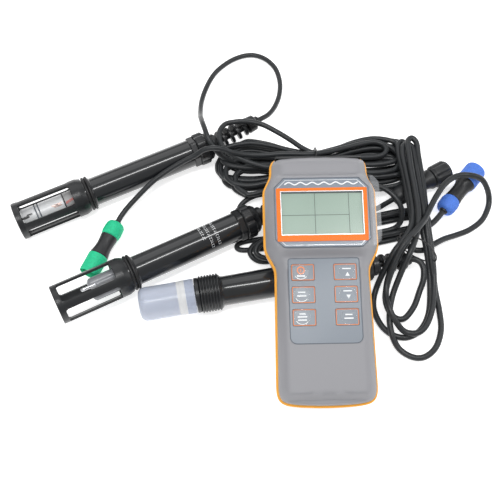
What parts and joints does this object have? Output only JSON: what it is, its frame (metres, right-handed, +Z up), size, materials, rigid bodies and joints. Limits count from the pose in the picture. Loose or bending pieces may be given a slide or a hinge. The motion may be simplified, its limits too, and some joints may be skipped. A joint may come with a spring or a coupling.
{
  "type": "water quality meter with probes",
  "caption": "Handheld water quality meter with keypad and display, and three cabled probes with guards, storage cap and coloured connectors.",
  "frame": {"origin": "on the table, under the middle of the box round the meter and the probes, cords and plugs left out", "axes": "+Z up from the table, +Y towards the meter's sockets, +X across the meter to the right"},
  "size_m": [0.362, 0.311, 0.0728],
  "materials": {
    "shell_grey": "fine texture",
    "band_orange": "satin",
    "frame_orange": "printed",
    "panel_slate": "satin",
    "lcd": "smooth",
    "film_clear": "smooth",
    "keypad_slate": "satin film",
    "socket_black": "satin",
    "contact_metal": "bright",
    "board_green": "solder mask",
    "cell_jacket": "gloss",
    "screw_steel": "bright",
    "probe_black": "semi gloss",
    "rubber_black": "smooth",
    "membrane_cap": "satin",
    "core_grey": "satin",
    "pin_steel": "polished",
    "cap_clear": "translucent",
    "bulb_glass": "clear",
    "plug_black": "moulded",
    "plug_green": "rough knurl",
    "plug_blue": "rough knurl",
    "cord_black": "satin pvc"
  },
  "bodies": {
    "set": {"rear_shell": "shell_grey", "edge_band": "band_orange", "front_shell": "shell_grey", "socket_block": "socket_black", "socket_inserts": "contact_metal", "window_panel": "panel_slate", "lcd_frame": "frame_orange", "lcd_module": "lcd", "screen_film": "film_clear", "keypad": "keypad_slate", "circuit_board": "board_green", "dome_switches": "contact_metal", "battery_cells": "cell_jacket", "case_screws": "screw_steel", "do_tube": "probe_black", "do_orings": "rubber_black", "do_core": "core_grey", "do_strain_relief": "probe_black", "ec_tube": "probe_black", "ec_orings": "rubber_black", "ec_cell": "core_grey", "ec_temp_pin": "pin_steel", "ec_strain_relief": "probe_black", "ph_body": "probe_black", "ph_seal": "rubber_black", "ph_bulb": "bulb_glass", "ph_strain_relief": "probe_black", "lock_nuts": "probe_black", "gland_nuts": "probe_black", "green_body": "plug_black", "green_nut": "plug_green", "blue_body": "plug_black", "blue_nut": "plug_blue", "black_body": "plug_black", "do_lead": "cord_black", "do_hank": "cord_black", "do_tail": "cord_black", "ec_lead": "cord_black", "ec_hank": "cord_black", "ec_tail": "cord_black", "ph_lead": "cord_black", "ph_hank": "cord_black", "ph_coil": "cord_black", "ph_loop": "cord_black", "ph_tail": "cord_black"},
    "key_power_body": {"key_power": "keypad_slate"},
    "key_cal_body": {"key_cal": "keypad_slate"},
    "key_mode_body": {"key_mode": "keypad_slate"},
    "key_up_body": {"key_up": "keypad_slate"},
    "key_down_body": {"key_down": "keypad_slate"},
    "key_enter_body": {"key_enter": "keypad_slate"},
    "door": {"battery_door": "shell_grey"},
    "do_guard_body": {"do_guard": "probe_black"},
    "do_membrane": {"do_membrane_cap": "membrane_cap"},
    "ec_guard_body": {"ec_guard": "probe_black"},
    "ph_cap_body": {"ph_cap": "cap_clear"},
    "green_coupling": {"green_ring": "plug_green"},
    "blue_coupling": {"blue_ring": "plug_blue"},
    "black_coupling": {"black_ring": "plug_black"}
  },
  "joints": [
    {"name": "key_power_press", "type": "slide", "parent": "set", "child": "key_power_body", "axis": [0, 0.2079, -0.9781], "range_m": [0, 0.0004], "stiffness_N_per_m": 3000},
    {"name": "key_cal_press", "type": "slide", "parent": "set", "child": "key_cal_body", "axis": [0, 0.2079, -0.9781], "range_m": [0, 0.0004], "stiffness_N_per_m": 3000},
    {"name": "key_mode_press", "type": "slide", "parent": "set", "child": "key_mode_body", "axis": [0, 0.2079, -0.9781], "range_m": [0, 0.0004], "stiffness_N_per_m": 3000},
    {"name": "key_up_press", "type": "slide", "parent": "set", "child": "key_up_body", "axis": [0, 0.2079, -0.9781], "range_m": [0, 0.0004], "stiffness_N_per_m": 3000},
    {"name": "key_down_press", "type": "slide", "parent": "set", "child": "key_down_body", "axis": [0, 0.2079, -0.9781], "range_m": [0, 0.0004], "stiffness_N_per_m": 3000},
    {"name": "key_enter_press", "type": "slide", "parent": "set", "child": "key_enter_body", "axis": [0, 0.2079, -0.9781], "range_m": [0, 0.0004], "stiffness_N_per_m": 3000},
    {"name": "battery_door_off", "type": "slide", "parent": "set", "child": "door", "axis": [0, 0.2079, -0.9781], "range_m": [0, 0.005]},
    {"name": "do_guard_off", "type": "slide", "parent": "set", "child": "do_guard_body", "axis": [-0.9092, -0.4163, 0], "range_m": [0, 0.06]},
    {"name": "do_membrane_turn", "type": "hinge", "parent": "set", "child": "do_membrane", "pos_m": [-0.13126, 0.03124, 0.014], "axis": [0.9092, 0.4163, 0], "continuous": true},
    {"name": "ec_guard_off", "type": "slide", "parent": "set", "child": "ec_guard_body", "axis": [-0.8924, -0.4488, 0.0471], "range_m": [0, 0.05]},
    {"name": "ph_cap_turn", "type": "hinge", "parent": "set", "child": "ph_cap_body", "pos_m": [-0.03798, -0.0386, 0.0132], "axis": [0.9869, 0.1616, 0], "continuous": true},
    {"name": "green_coupling_turn", "type": "hinge", "parent": "set", "child": "green_coupling", "pos_m": [-0.08478, -0.00903, 0.0079], "axis": [-0.4083, -0.9128, 0], "continuous": true},
    {"name": "blue_coupling_turn", "type": "hinge", "parent": "set", "child": "blue_coupling", "pos_m": [0.20172, 0.06398, 0.0086], "axis": [0.6441, 0.7649, 0], "continuous": true},
    {"name": "black_coupling_turn", "type": "hinge", "parent": "set", "child": "black_coupling", "pos_m": [0.1751, 0.0641, 0.0092], "axis": [0.8686, 0.4955, 0], "continuous": true}
  ]
}
